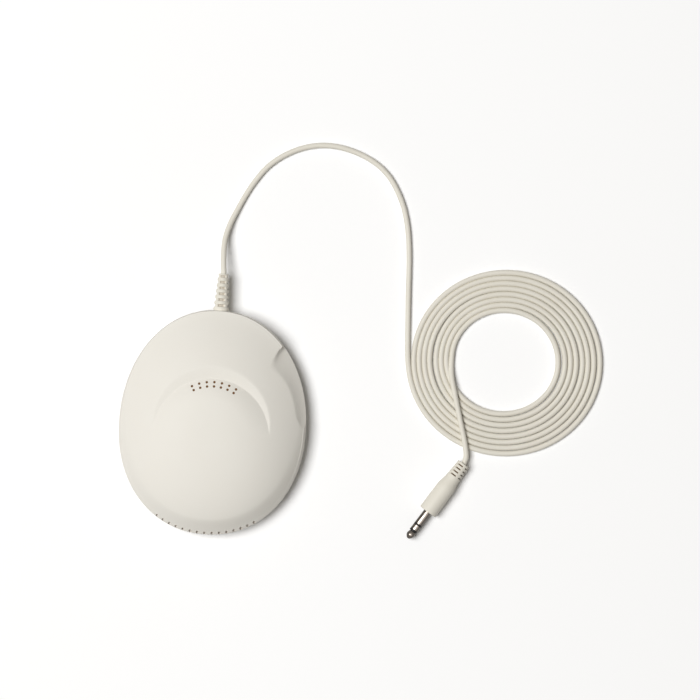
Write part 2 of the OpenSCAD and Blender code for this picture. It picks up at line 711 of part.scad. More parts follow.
module cord_coil() {
    color("ivory") translate([coil_x, coil_y, 0]) ring(coil_out_r, coil_in_r, 0, cord_d);
}
module cord_end() {
    color("ivory") tube(end_points, cord_r, cord_sides, [0, 0, 1]);
}

// Plug, drawn along +Z from the cord's entry
module plug_body() {
    pitch = tail_l / (tail_rows + 0.5);
    shoulder_l = tail_l + swell_l;
    foot_r = tail_d / 2 + tail_flare;
    swell = [for (f = [0.25 : 0.25 : 0.75])
        [foot_r + (plug_r - foot_r) * (1 - cos(180 * f)) / 2, tail_l + swell_l * f]];
    color("ivory") at_plug() difference() {
        rotate_extrude($fn = fine) polygon(concat([[0, 0], [tail_d / 2, 0], [foot_r, tail_l]], swell,
            [[plug_r, shoulder_l], [plug_r, plug_l - rim_r], [plug_r - rim_r, plug_l],
            [0, plug_l]]));
        slot_rows(tail_rows, pitch, pitch * 0.6, pitch * slot_share, cord_r + slot_floor);
        translate([0, 0, plug_l - collar_t - collar_sunk]) cylinder(r = collar_r, h = plug_l, $fn = fine);
        translate([0, 0, plug_l - anchor_l]) cylinder(r = stem_r, h = plug_l, $fn = fine);
    }
}
module plug_collar() {
    color("silver") at_plug() ring(collar_r, crimp_r, plug_l - collar_t - collar_sunk, collar_t);
}
module plug_sleeve() {
    color("silver") at_plug() {
        ring(pin_r, stem_r, plug_l - collar_sunk, sleeve_l + collar_sunk);
        ring(crimp_r, stem_r, plug_l - collar_t - collar_sunk, collar_t + collar_sunk / 2);
    }
}
module plug_ring() {
    color("silver") at_plug() ring(pin_r, stem_r, plug_l + sleeve_l + band_l, ring_l);
}
module plug_insulators() {
    color("black") at_plug() {
        ring(stem_r, rod_r, plug_l - anchor_l, anchor_l + sleeve_l + 2 * band_l + ring_l);
        for (z = [sleeve_l, sleeve_l + band_l + ring_l])
            ring(pin_r, stem_r - eps, plug_l + z, band_l);
    }
}
module plug_tip() {
    tip_z = plug_l + sleeve_l + 2 * band_l + ring_l;
    tip_l = pin_l - sleeve_l - 2 * band_l - ring_l;
    bulb = [[0.72, 0], [0.95, 0.36], [1, 0.48], [0.9, 0.64], [0.42, 0.95], [0.2, 1], [0, 1]];
    color("silver") at_plug() rotate_extrude($fn = fine) polygon(concat([[0, plug_l - anchor_l],
        [rod_r, plug_l - anchor_l], [rod_r, tip_z]],
        [for (b = bulb) [pin_r * b[0], tip_z + tip_l * b[1]]]));
}

front_cover();
rear_cover();
case_screws();
grille_cloth();
speaker_gasket();
speaker_basket();
speaker_diaphragm();
voice_coil();
speaker_top_plate();
speaker_magnet();
speaker_yoke();
terminal_board();
solder_joints();
coil_leads();
clamp_washers();
clamp_screws();
core_wire_a();
core_wire_b();
cord_tail();
strain_relief();
cord_run();
cord_coil();
cord_end();
plug_body();
plug_collar();
plug_sleeve();
plug_ring();
plug_tip();
plug_insulators();
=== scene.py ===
# %% [markdown]
# # A pillow speaker
# A flat oval loudspeaker that goes under a pillow, with a thin cord and a jack plug.
# The CAD model gives the size and place of every piece. This lesson dresses it: the
# plain solids get smooth moulded surfaces and materials, and then light and a camera.

# %% Load the fixed frame
import json
import math

import bpy
import numpy as np
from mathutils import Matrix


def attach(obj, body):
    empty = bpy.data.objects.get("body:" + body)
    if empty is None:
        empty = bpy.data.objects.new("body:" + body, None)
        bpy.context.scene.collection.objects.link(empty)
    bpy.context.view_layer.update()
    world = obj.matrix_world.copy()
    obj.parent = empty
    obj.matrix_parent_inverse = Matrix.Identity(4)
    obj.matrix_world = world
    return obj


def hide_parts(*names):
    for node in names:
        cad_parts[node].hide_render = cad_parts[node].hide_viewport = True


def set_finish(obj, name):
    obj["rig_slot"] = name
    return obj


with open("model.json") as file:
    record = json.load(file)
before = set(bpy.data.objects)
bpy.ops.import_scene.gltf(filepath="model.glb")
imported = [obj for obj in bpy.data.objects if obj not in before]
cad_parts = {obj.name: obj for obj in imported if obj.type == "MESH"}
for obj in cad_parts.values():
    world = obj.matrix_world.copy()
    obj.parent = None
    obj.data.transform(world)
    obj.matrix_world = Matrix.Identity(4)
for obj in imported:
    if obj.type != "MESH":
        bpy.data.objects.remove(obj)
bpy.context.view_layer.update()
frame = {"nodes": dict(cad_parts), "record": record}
bpy.context.scene.view_settings.view_transform = "Standard"
nodes = frame["nodes"]
MM = 0.001
print("CAD nodes:", len(nodes))

# %% [markdown]
# ## The camera
# The photograph looks straight down, from far away. The housing is turned a few degrees
# clockwise in it, so the camera is turned as much the other way. A long lens at a long
# distance keeps the perspective as flat as in the photograph.

# %% Camera
VIEW_CENTRE = (55.67, 34.79)
VIEW_HEIGHT = 1300
VIEW_TURN = math.radians(4.2)
FIELD = 297.9
SENSOR = 36

camera_data = bpy.data.cameras.new("camera")
camera_data.sensor_width = SENSOR
camera_data.lens = SENSOR * VIEW_HEIGHT / FIELD
camera = bpy.data.objects.new("camera", camera_data)
camera.location = (VIEW_CENTRE[0] * MM, VIEW_CENTRE[1] * MM, VIEW_HEIGHT * MM)
camera.rotation_euler = (0, 0, VIEW_TURN)
bpy.context.scene.collection.objects.link(camera)
bpy.context.scene.camera = camera
print("lens:", round(camera_data.lens, 1), "mm")

# %% [markdown]
# ## The route of the cord
# The cord is one lead. It leaves the strain relief, sinks to the table, arcs over the top,
# runs down beside the coil and joins it from outside. It winds inwards in one layer, then
# climbs over its own turns to the plug. A short list of points gives the free parts, and
# a spiral gives the turns. Two lists say how loose each turn lies, from the innermost one
# outwards. A smooth curve through all the points is the centreline.

# %% Points of the route, in millimetres
CORD_R = 1.15
RUN = [(0, 63, 6.35), (0, 64, 6.35), (-0.3, 67, 6), (-0.6, 71, 5.1), (-0.7, 75, 3.9),
       (-0.3, 79.5, 2.5), (1.4, 85.5, 1.1), (4, 91.5, 0.3), (7, 97.8, 0), (10.6, 104, 0),
       (15, 109.8, 0), (20.6, 114.5, 0), (27, 118, 0), (34, 120.2, 0), (41, 120.8, 0),
       (48, 119.9, 0), (55, 117.7, 0), (61.5, 114.3, 0), (67, 109.4, 0), (71, 103.4, 0),
       (74, 97, 0), (76, 90, 0), (77.2, 83, 0), (77.9, 76, 0), (78.3, 69, 0), (78.6, 62, 0),
       (79, 55, 0), (79.4, 48, 0), (79.8, 41, 0), (80.3, 34.5, 0), (81.2, 28.5, 0),
       (82.6, 23, 0)]
END = [(99.1, 31.2, 0.1), (99.4, 28, 0.7), (100, 24.6, 1.6), (101.1, 20.6, 2.2),
       (102.5, 15.5, 2.3), (104, 10.3, 2.3), (105.6, 4.6, 2.3), (106.9, 0, 2.35),
       (107.8, -4, 2.55), (108.1, -7, 2.75), (107.3, -9.9, 2.85), (106.8, -10.7, 2.85)]
COIL_CENTRE = (121.74, 34.48)
COIL_INNER_R = (21.41, -0.73, 0.605, 0.5625)
COIL_PITCH = (2.391, 0.13, -0.0555, 0.0388)
COIL_TURNS = 7.93
TURN_POINTS = 36
LOOSE_RIGHT = (-0.45, 0.1, 0.45, 0.3, 0.12, 0.2, 0, -0.1, 0)
LOOSE_LEFT = (0, -0.05, -0.12, -0.22, 0.2, 0.12, 0.06, 0, 0)
LOOSE_POWER = 4


def round_sum(terms, angle):
    """A number for each angle: a mean, a share to the right, one upwards and one of squash."""
    return (terms[0] + terms[1] * np.cos(angle) + terms[2] * np.sin(angle)
            + terms[3] * np.cos(2 * angle))


def spiral():
    """Points of the flat coil, which winds inwards, anticlockwise, and ends on its left side.
    The radius is the inner radius plus the pitch for each turn that is still to come. Both
    change with the angle, because nobody winds a cord by compasses, and a few turns lie
    loose on the right and on the left."""
    left = np.linspace(COIL_TURNS, 0, int(COIL_TURNS * TURN_POINTS))
    angle = np.pi - 2 * np.pi * left
    radius = round_sum(COIL_INNER_R, angle) + round_sum(COIL_PITCH, angle) * left
    on_right = ((1 + np.cos(angle)) / 2) ** LOOSE_POWER
    on_left = ((1 - np.cos(angle)) / 2) ** LOOSE_POWER
    turn = np.arange(len(LOOSE_LEFT))
    radius += on_right * np.interp(left, turn - 0.5, LOOSE_RIGHT)
    radius += on_left * np.interp(left, turn, LOOSE_LEFT)
    return np.column_stack([COIL_CENTRE[0] + radius * np.cos(angle),
                            COIL_CENTRE[1] + radius * np.sin(angle), np.zeros(len(left))])


def smooth_path(points, steps):
    """A Catmull-Rom curve through the points: each span is a cubic whose slope at a point
    is half the step between that point's two neighbours."""
    p = np.vstack([2 * points[0] - points[1], points, 2 * points[-1] - points[-2]])
    a, b, c, d = p[:-3, None], p[1:-2, None], p[2:-1, None], p[3:, None]
    t = (np.arange(steps) / steps)[None, :, None]
    curve = (2 * b + (c - a) * t + (2 * a - 5 * b + 4 * c - d) * t ** 2
             + (3 * b - a - 3 * c + d) * t ** 3) / 2
    return np.vstack([curve.reshape(-1, 3), points[-1]])


route = np.vstack([RUN, spiral(), END]) + [0, 0, CORD_R]
centreline = smooth_path(route, 3)
cord_length = np.linalg.norm(np.diff(centreline, axis=0), axis=1).sum()
print("cord:", len(centreline), "points,", round(cord_length), "mm")


def make_cord(name, points, radius):
    """One open curve along the points, with a round bevel of the cord's radius."""
    data = bpy.data.curves.new(name, "CURVE")
    data.dimensions = "3D"
    data.bevel_depth = radius * MM
    data.bevel_resolution = 5
    data.use_fill_caps = True
    line = data.splines.new("POLY")
    line.points.add(len(points) - 1)
    line.points.foreach_set("co", np.column_stack([points * MM, np.ones(len(points))]).ravel())
    line.use_smooth = True
    made = bpy.data.objects.new(name, data)
    bpy.context.scene.collection.objects.link(made)
    return made


cord = make_cord("cord", centreline, CORD_R)

# %% [markdown]
# ## Grids become meshes
# Every moulded surface here is a grid of points. A row is one closed ring of points, and
# the rows follow each other over the surface. Four neighbours make a face. Where an end of
# the grid has to close, a fan of triangles joins its last ring to one middle point.

# %% From a grid to a mesh
def add_piece(name, points, faces, *replaced, slot):
    """Makes a smooth mesh object from points in millimetres. It stands for CAD nodes."""
    mesh = bpy.data.meshes.new(name)
    mesh.from_pydata((np.asarray(points) * MM).tolist(), [], faces)
    mesh.shade_smooth()
    made = bpy.data.objects.new(name, mesh)
    bpy.context.scene.collection.objects.link(made)
    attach(made, "root")
    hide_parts(*replaced)
    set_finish(made, slot)
    return made


def grid_faces(rows, first=0):
    """Faces over a grid of rings, which face outwards where the rings run anticlockwise
    and the rows go up. Each end is closed by a fan round the ring's middle."""
    row_count, ring_count = rows.shape[:2]
    i = np.arange(ring_count)
    after = (i + 1) % ring_count
    low = np.arange(row_count - 1)[:, None] * ring_count
    quads = np.stack([low + i, low + after, low + ring_count + after, low + ring_count + i], -1)
    hub = row_count * ring_count
    top = hub - ring_count
    start = np.column_stack([np.full(ring_count, hub), after, i])
    end = np.column_stack([np.full(ring_count, hub + 1), top + i, top + after])
    return ((quads.reshape(-1, 4) + first).tolist() + (start + first).tolist()
            + (end + first).tolist())


def grid_points(rows):
    """All points of the grid, and the middle of its first and its last ring."""
    return np.vstack([rows.reshape(-1, 3), rows[0].mean(0), rows[-1].mean(0)])


def grid_piece(name, rows, *replaced, slot):
    """A closed piece over one grid of rings."""
    made = add_piece(name, grid_points(rows), grid_faces(rows), *replaced, slot=slot)
    print(name, "has", len(made.data.polygons), "faces")
    return made


# %% [markdown]
# ## The front cover's form
# The real cover is one injection moulding: a dome that is fuller towards its foot, with a
# sloped rim, standing on a narrow ledge. A crescent is pressed into the dome above the
# sound holes, and a shallow finger scoop into its right rim. All of this is one height over
# the plan, so the whole surface can be worked out at once. The grid's rings follow the
# crescent's arcs, which keeps its two edges crisp without a single cut. Below the ledge, a
# thin lip reaches down into a groove of the rear cover, and a fine seam shows outside.

# %% Sizes of the housing
HOUSING_W, HOUSING_L, HOUSING_H = 79, 95, 22.5
PARTING_Z = 7.5
WALL = 2
OVAL_POWER, OVAL_EGG = 2.1, 0.027
LEDGE_W, LEDGE_TOP_W, LEDGE_Z, FOOT_Z = 1.4, 0.5, 8.7, 9.7
LAND_W = LEDGE_W + WALL
DOME_H = HOUSING_H - FOOT_Z
DOME_POWER, TOP_FULL, FOOT_FULL = 2.4, 1.3, 0.6
RIM_LIFT, RIM_SLOPE, RIM_SOFT = 2.6, 1.15, 0.7
CRESCENT_R, CRESCENT_W, CRESCENT_DEPTH, CRESCENT_DROP = 24.5, 5, 1.8, 6
SLOPE_W, LEAST_GAP = 9, 0.5
SCOOP_Z, SCOOP_LEAST_RISE, SCOOP_WALL = 8.1, 0.5, 1.27
SCOOP_DISH, SCOOP_END_DISH, SCOOP_DISH_A, SCOOP_DISH_SPAN = 0.25, -0.05, 30, 14
SCOOP_ROUND_A, SCOOP_END_A, SCOOP_ROUND_POWER, SCOOP_END_SOFT = 42, 51.4, 3, 4
SCOOP_FOOT_SPAN, SCOOP_FOOT_RISE = 16, 2
SCOOP_WIDTHS = np.array([(-8, 3.6), (4, 3.7), (12, 4.1), (20, 4.8), (28, 5.5), (34, 6.2),
                         (39, 7.2), (44, 8.6), (48, 9), (52, 9.2)])
WIDTH_DEGREE, LEAST_WIDTH = 5, 0.001
RAYS = 600
ALL_ROUND = 2 * np.pi * np.arange(RAYS) / RAYS


def oval_radius(angle):
    """Radius of the oval outline: a superellipse whose half width shrinks with the sine of
    the angle, which makes it a little egg-shaped."""
    half_w = HOUSING_W / 2 * (1 - OVAL_EGG * np.sin(angle))
    return ((np.abs(np.cos(angle)) / half_w) ** OVAL_POWER
            + (np.abs(np.sin(angle)) * 2 / HOUSING_L) ** OVAL_POWER) ** (-1 / OVAL_POWER)


def towards_foot(angle):
    """0 at the cord's end of the housing, 1 at its foot, and half-way at the sides."""
    return (1 - np.sin(angle)) / 2


def ledge_width(angle):
    """The ledge narrows from the foot to the cord's end."""
    return LEDGE_TOP_W + (LEDGE_W - LEDGE_TOP_W) * towards_foot(angle)


def rim_lift(angle):
    """The rim rises towards the cord's end, to make room for the strain relief."""
    return RIM_LIFT * (1 - towards_foot(angle)) ** 3


def soft_min(a, b, width):
    """The lower of two heights, rounded where they cross within the width."""
    overlap = np.maximum(width - np.abs(a - b), 0) / width
    return np.minimum(a, b) - overlap ** 2 * width / 4


def dome_height(x, y, inset):
    """Height of the dome. The share is the distance from the centre over the distance to
    the dome's edge. The height is one minus a power of the share, raised to a second power
    that makes the dome fuller towards the foot. A straight rim slope cuts off its edge."""
    angle = np.arctan2(y, x)
    reach = oval_radius(angle) - ledge_width(angle) - inset
    radius = np.minimum(reach, np.hypot(x, y))
    full = TOP_FULL + (FOOT_FULL - TOP_FULL) * towards_foot(angle)
    lift = rim_lift(angle)
    dome = (DOME_H - lift) * (1 - (radius / reach) ** DOME_POWER) ** full
    rise = soft_min(dome, RIM_SLOPE * (reach - radius), RIM_SOFT)
    return FOOT_Z + lift - inset + np.maximum(0, rise)


def smooth_step(x):
    """Rises from 0 to 1 between 0 and 1, flat at both ends."""
    x = np.clip(x, 0, 1)
    return x * x * (3 - 2 * x)


def past_round(angle):
    """0 along the scoop, from 0 to 1 through its rounded top end, and more beyond."""
    way = (np.degrees(angle) - SCOOP_ROUND_A) / (SCOOP_END_A - SCOOP_ROUND_A)
    return np.maximum(way, 0)


def scoop_height(x, y, inset):
    """Floor of the finger scoop: a slope from the outline up to the scoop's inner edge, with
    a slight dish between them. The width is a smooth curve over the angle, rounded off at
    its top end, where the dish is a little shallower. At the foot a soft step ends it."""
    angle = np.arctan2(y, x)
    degrees = np.degrees(angle)
    low_a, high_a = SCOOP_WIDTHS[0, 0], SCOOP_WIDTHS[-1, 0]
    curve = np.polyfit(SCOOP_WIDTHS[:, 0], SCOOP_WIDTHS[:, 1], WIDTH_DEGREE)
    rounding = np.clip(1 - past_round(angle) ** SCOOP_ROUND_POWER, LEAST_WIDTH, 1)
    width = np.polyval(curve, np.clip(degrees, low_a, high_a)) * np.sqrt(rounding)
    edge_r = oval_radius(angle) - width
    edge_z = dome_height(edge_r * np.cos(angle), edge_r * np.sin(angle), 0)
    share = (oval_radius(angle) - np.hypot(x, y)) / width
    deep = SCOOP_DISH + SCOOP_END_DISH * smooth_step((degrees - SCOOP_DISH_A) / SCOOP_DISH_SPAN)
    floor = (SCOOP_Z + np.maximum(edge_z - SCOOP_Z, SCOOP_LEAST_RISE) * share
             - deep * np.sin(np.pi * np.clip(share, 0, 1)))
    foot = 1 - smooth_step((degrees - low_a) / SCOOP_FOOT_SPAN)
    return floor + SCOOP_FOOT_RISE * foot - SCOOP_WALL * inset


# %% The front cover's rings
def crescent_gap(angle):
    """Width of the crescent at an angle: how far the outer arc lies outside the inner one."""
    outer = CRESCENT_W * np.sin(angle) + np.sqrt(
        CRESCENT_R ** 2 - (CRESCENT_W * np.cos(angle)) ** 2)
    return np.maximum(0, outer - CRESCENT_R)


def front_rings(inset, dome_steps, wall_steps, slope_steps, bowl_radii, scoop_edge):
    """Rings from the shoulder's foot to near the middle. Outside the crescent they blend
    from its outer arc to the oval. Inside, they are circles round the inner arc's centre.
    The valley is deepest on the inner arc and rises to both sides. The scoop's edge gets
    softer through its top end."""
    angle = ALL_ROUND
    gap = crescent_gap(angle)
    wide = np.maximum(gap, LEAST_GAP)
    depth = CRESCENT_DEPTH * gap / CRESCENT_W
    way = np.stack([np.cos(angle), np.sin(angle)], -1)
    drop = np.array([0, -CRESCENT_DROP])
    foot = way * (oval_radius(angle) - ledge_width(angle) - inset)[:, None]
    edge = drop + way * (CRESCENT_R + wide)[:, None]
    dome = [edge * (1 - t) + foot * t for t in dome_steps]
    wall = [drop + way * (CRESCENT_R + wide * u)[:, None] for u in wall_steps]
    slope = [drop + way * (CRESCENT_R - SLOPE_W * u) for u in slope_steps]
    bowl = [drop + way * r for r in bowl_radii]
    plan = np.stack(dome + wall + slope + bowl)
    sink = np.concatenate([np.zeros((len(dome), RAYS)), [depth * (1 - u) for u in wall_steps],
                           [depth * (1 - u) ** 2 for u in slope_steps],
                           np.zeros((len(bowl), RAYS))])
    x, y = plan[..., 0], plan[..., 1]
    dome_z = dome_height(x, y, inset)
    end = np.clip(past_round(np.arctan2(y, x)), 0, 1)
    softness = scoop_edge * (1 + SCOOP_END_SOFT * end)
    z = soft_min(dome_z, scoop_height(x, y, inset), softness) - sink
    return np.stack([x, y, z], -1)


def oval_ring(inset, z):
    """One ring of the oval outline, drawn in by the inset."""
    r = oval_radius(ALL_ROUND) - inset
    return np.stack([r * np.cos(ALL_ROUND), r * np.sin(ALL_ROUND), np.broadcast_to(z, RAYS)], -1)


def ledge_ring(share, z):
    """One ring on the ledge, a share of its width in from the outline. The scoop presses
    it down, too."""
    ring = oval_ring(share * ledge_width(ALL_ROUND), z + rim_lift(ALL_ROUND))
    ring[:, 2] = np.minimum(ring[:, 2], scoop_height(ring[:, 0], ring[:, 1], 0))
    return ring


SEAM, SEAM_IN, SEAM_UP = 0.22, 0.05, 0.08
LIP_IN, LIP_W, LIP_H = 1.3, 0.8, 1.2
LEDGE_PROFILE = [(0, -0.85), (0.03, -0.6), (0.09, -0.45), (0.2, -0.27), (0.36, -0.02),
                 (0.57, 0.31), (0.79, 0.66), (0.93, 0.89)]
outer = front_rings(
    0, dome_steps=1 - np.linspace(0, 1, 44) ** 2, wall_steps=np.linspace(0.9, 0.1, 7),
    slope_steps=np.linspace(0, 1, 19) ** 1.5, bowl_radii=np.linspace(13, 0.8, 10),
    scoop_edge=0.2)
inner = front_rings(
    WALL, dome_steps=1 - np.linspace(0, 1, 9) ** 2, wall_steps=[0.5],
    slope_steps=[0, 0.3, 0.65, 1], bowl_radii=[9, 3], scoop_edge=0.5)
land_in = ledge_width(ALL_ROUND) + WALL
rim = [oval_ring(inset, PARTING_Z + lift) for inset, lift in (
    (land_in, 0), (LIP_IN + LIP_W, 0), (LIP_IN + LIP_W, -LIP_H), (LIP_IN, -LIP_H), (LIP_IN, 0),
    (SEAM, 0), (SEAM_IN, SEAM_UP), (0, SEAM))]
ledge = [ledge_ring(share, LEDGE_Z + lift) for share, lift in LEDGE_PROFILE]
front_rows = np.concatenate([inner[::-1], rim, ledge, outer])

# %% [markdown]
# ## Holes
# Pins in the mould leave the sound holes. A Boolean modifier cuts them from the finished skin,
# because a cut keeps each hole truly round and gives it its wall. Each wall keeps a mark, by which
# a painted shade darkens the plastic in it. The fine holes along the foot slant inwards, and each
# opens in a wider, upright mouth, which is cut last.

# %% Cutters and cuts
GRILLE_R, GRILLE_GAP, GRILLE_STEP, GRILLE_D, GRILLE_COUNT = 19.2, 1.8, 9.6, 1.05, 7
GRILLE_LOW, GRILLE_HIGH = 14.7, 25
FOOT_COUNT, FOOT_STEP, FOOT_D, FOOT_TILT = 15, 3.82, 0.8, 20
FOOT_MOUTH_Z, FOOT_HOLE_L = 9.2, 4.4
MOUTH_D, MOUTH_DEPTH, MOUTH_ABOVE = 1.1, 2.3, 2
DRIVER_Y = -2
RELIEF_HOLE_R, RELIEF_HOLE_START, RELIEF_HOLE_END = 3.35, 43, 66
SHARP_HOLE_EDGE = math.radians(40)
ASKEW = np.array([0.31, 0.17, 0.93])


def rod_grid(start, end, radius, sides):
    """Two rings of a rod from start to end, for each row of the two arrays. No rod points
    the askew way, so a way across each rod follows from it."""
    start, end = np.atleast_2d(start).astype(float), np.atleast_2d(end).astype(float)
    axis = (end - start) / np.linalg.norm(end - start, axis=1)[:, None]
    across = np.cross(axis, ASKEW)
    across /= np.linalg.norm(across, axis=1)[:, None]
    other = np.cross(axis, across)
    a = 2 * np.pi * np.arange(sides) / sides
    ring = radius * (across[:, None] * np.cos(a)[:, None] + other[:, None] * np.sin(a)[:, None])
    return np.stack([start[:, None] + ring, end[:, None] + ring], 1)


def upright_rods(plan, low, high, radius, sides):
    """A rod from the low to the high place over each point of the plan."""
    start, end = (np.column_stack([plan, np.full(len(plan), z)]) for z in (low, high))
    return rod_grid(start, end, radius, sides)


def mark_painted_shade(mesh, depth):
    """One share of painted shade for all faces of a mesh: 1 on a wall that a rod leaves, 0
    elsewhere.
    """
    values = mesh.attributes.new("painted_slot_shade", "FLOAT", "FACE").data
    values.foreach_set("value", np.full(len(values), float(depth)))


def cut(piece, rods):
    """Takes all rods away from the piece, and keeps the result as its mesh."""
    points, faces = [], []
    for rows in rods:
        faces += grid_faces(rows, sum(len(p) for p in points))
        points.append(grid_points(rows))
    mesh = bpy.data.meshes.new("cutter")
    mesh.from_pydata((np.vstack(points) * MM).tolist(), [], faces)
    # Painted shade: the cutter's faces are marked 1, and the hole walls they leave keep that mark.
    mark_painted_shade(mesh, 1)
    cutter = bpy.data.objects.new("cutter", mesh)
    bpy.context.scene.collection.objects.link(cutter)
    modifier = piece.modifiers.new("holes", "BOOLEAN")
    modifier.object = cutter
    modifier.solver = "EXACT"
    graph = bpy.context.evaluated_depsgraph_get()
    done = bpy.data.meshes.new_from_object(piece.evaluated_get(graph))
    piece.modifiers.clear()
    piece.data = done
    bpy.data.objects.remove(cutter)
    done.shade_smooth()
    done.set_sharp_from_angle(angle=SHARP_HOLE_EDGE)
    print(piece.name, "after", len(rods), "cuts:", len(done.polygons), "faces")


grille_k = np.arange(GRILLE_COUNT) - (GRILLE_COUNT - 1) / 2
grille_a = np.radians(90 + GRILLE_STEP * np.tile(grille_k, 2))
grille_r = np.repeat([GRILLE_R, GRILLE_R - GRILLE_GAP], GRILLE_COUNT)
grille_xy = np.stack([grille_r * np.cos(grille_a), DRIVER_Y + grille_r * np.sin(grille_a)], -1)
grille_rods = upright_rods(grille_xy, GRILLE_LOW, GRILLE_HIGH, GRILLE_D / 2, 32)

foot_a = np.radians(-90 + FOOT_STEP * (np.arange(FOOT_COUNT) - (FOOT_COUNT - 1) / 2))
foot_r = oval_radius(foot_a) - ledge_width(foot_a) / 2
foot_way = np.stack([np.cos(foot_a), np.sin(foot_a)], -1)
foot_xy = foot_way * foot_r[:, None]
foot_mouth = np.column_stack([foot_xy, np.full(FOOT_COUNT, FOOT_MOUTH_Z)])
foot_slope = np.column_stack([foot_way * math.cos(math.radians(FOOT_TILT)),
                              np.full(FOOT_COUNT, math.sin(math.radians(FOOT_TILT)))])
foot_rods = rod_grid(foot_mouth - FOOT_HOLE_L * foot_slope, foot_mouth, FOOT_D / 2, 28)
mouth_rods = upright_rods(foot_xy, FOOT_MOUTH_Z - MOUTH_DEPTH, FOOT_MOUTH_Z + MOUTH_ABOVE,
                          MOUTH_D / 2, 28)
relief_rod = rod_grid([0, RELIEF_HOLE_START, PARTING_Z], [0, RELIEF_HOLE_END, PARTING_Z],
                      RELIEF_HOLE_R, 64)

front_cover = grid_piece("front_cover_moulding", front_rows, "front_cover", slot="housing_plastic")
# Painted shade: the skin is marked 0, so only the walls of the holes are darkened.
mark_painted_shade(front_cover.data, 0)
cut(front_cover, [*grille_rods, *foot_rods, *relief_rod])
cut(front_cover, mouth_rods)

# %% [markdown]
# ## The rear cover
# The back is a shallow tray with a large soft edge, so that no corner is felt through a
# pillow. Four screws sit deep in round wells. The same rings make it: a flat floor, a
# quarter circle up to the wall, and the same rings again, drawn in, for the inside.

# %% Rear cover
REAR_EDGE_R = 6
CASE_X, CASE_TOP_Y, CASE_LOW_Y = 21, 29, 31
WELL_R, WELL_LOW, WELL_HIGH = 2.7, -1, 1.8
TRAY_FLOOR_STEPS = (28.8, 20.8, 12, 4, 0.8)
LIP_PLAY = 0.1


def tray_rings(inset, lift, high_z, steps):
    """Rings of a tray: the floor is drawn in by the edge's radius, and a quarter circle
    leads up to the wall. The inset and the lift give the same form, a wall further in."""
    r = REAR_EDGE_R - lift
    turn = np.pi / 2 * np.linspace(0, 1, steps)
    floor = [oval_ring(inset + r + step, lift) for step in TRAY_FLOOR_STEPS]
    edge = [oval_ring(inset + r * (1 - math.sin(a)), lift + r * (1 - math.cos(a))) for a in turn]
    return floor + edge + [oval_ring(inset, high_z)]


outside = tray_rings(0, 0, PARTING_Z - SEAM, 18)
inside = tray_rings(LAND_W, WALL, PARTING_Z, 7)
groove_out, groove_in, groove_deep = LIP_IN - LIP_PLAY, LIP_IN + LIP_W + LIP_PLAY, LIP_H + LIP_PLAY
land = [oval_ring(inset, PARTING_Z - depth) for inset, depth in (
    (SEAM_IN, SEAM_UP), (SEAM, 0), (groove_out, 0), (groove_out, groove_deep),
    (groove_in, groove_deep), (groove_in, 0))]
rear_rows = np.stack(outside + land + inside[::-1])
case_xy = np.array([(x, y) for x in (-CASE_X, CASE_X) for y in (CASE_TOP_Y, -CASE_LOW_Y)])
well_rods = upright_rods(case_xy, WELL_LOW, WELL_HIGH, WELL_R, 48)

rear_cover = grid_piece("rear_cover_moulding", rear_rows, "rear_cover", slot="housing_plastic")
cut(rear_cover, [*well_rods, *relief_rod])

# %% [markdown]
# ## Turned and slotted pieces
# The strain relief and the plug are round about an axis, apart from their slots. A radius for each
# angle and place along the axis describes both: the profile gives the round form, and smooth-edged
# windows sink the slots into it, as in the real rubber moulding. How deep a point lies in a slot
# is kept with it, and a painted shade darkens the rubber there.

# %% Radius over angle and length
SLOT_SOFT_A, SLOT_SOFT_L = 0.06, 0.14
SIDES = 128
SIDE_ANGLES = 2 * np.pi * np.arange(SIDES) / SIDES


def window(x, low, high, soft):
    """1 between low and high and 0 outside, with soft edges."""
    return smooth_step((x - low) / soft + 0.5) * smooth_step((high - x) / soft + 0.5)


def slot_sink(angle, place, rows, pitch, first, width, span):
    """How deep the slots are, from 0 to 1: rows of four windows a quarter turn apart."""
    quarter = np.abs((angle + np.pi / 4) % (np.pi / 2) - np.pi / 4)
    arc = smooth_step((math.radians(span / 2) - quarter) / SLOT_SOFT_A + 0.5)
    index = np.clip(np.floor((place - first + (pitch - width) / 2) / pitch), 0, rows - 1)
    start = first + index * pitch
    return window(place, start, start + width, SLOT_SOFT_L) * arc


def round_rows(base, axis, first_side, radius, place, count):
    """Rings round an axis. The radius is one number a row, or one for each point."""
    base, axis, first_side = (np.asarray(v, float) for v in (base, axis, first_side))
    angle = 2 * np.pi * np.arange(count) / count
    radius = np.asarray(radius, float).reshape(len(place), -1)
    radius = np.broadcast_to(radius, (len(place), count))
    other = np.cross(axis, first_side)
    ring = np.cos(angle)[:, None] * first_side + np.sin(angle)[:, None] * other
    return base + np.asarray(place)[:, None, None] * axis + radius[..., None] * ring


def slotted_rows(base, axis, first_side, start, radius, place, end):
    """Rings of a slotted piece. Its plain start and end are profiles of radius and place,
    and between them each point has a radius of its own."""
    start, end = np.asarray(start), np.asarray(end)
    radii = np.vstack([np.tile(start[:, :1], SIDES), radius, np.tile(end[:, :1], SIDES)])
    places = np.concatenate([start[:, 1], place, end[:, 1]])
    return round_rows(base, axis, first_side, radii, places, SIDES)


def softened(profile, size, steps=5):
    """A profile whose corners are rounded: each becomes a short parabola between the two
    points that lie the size away from it on its edges."""
    p = np.asarray(profile, float)
    before, corner, after = p[:-2], p[1:-1], p[2:]
    back, ahead = before - corner, after - corner
    back_l = np.linalg.norm(back, axis=1)[:, None]
    ahead_l = np.linalg.norm(ahead, axis=1)[:, None]
    a = corner + back * np.minimum(size, back_l * 0.45) / back_l
    b = corner + ahead * np.minimum(size, ahead_l * 0.45) / ahead_l
    t = np.linspace(0, 1, steps)[None, :, None]
    bend = (1 - t) ** 2 * a[:, None] + 2 * t * (1 - t) * corner[:, None] + t ** 2 * b[:, None]
    return np.vstack([p[:1], bend.reshape(-1, 2), p[-1:]])


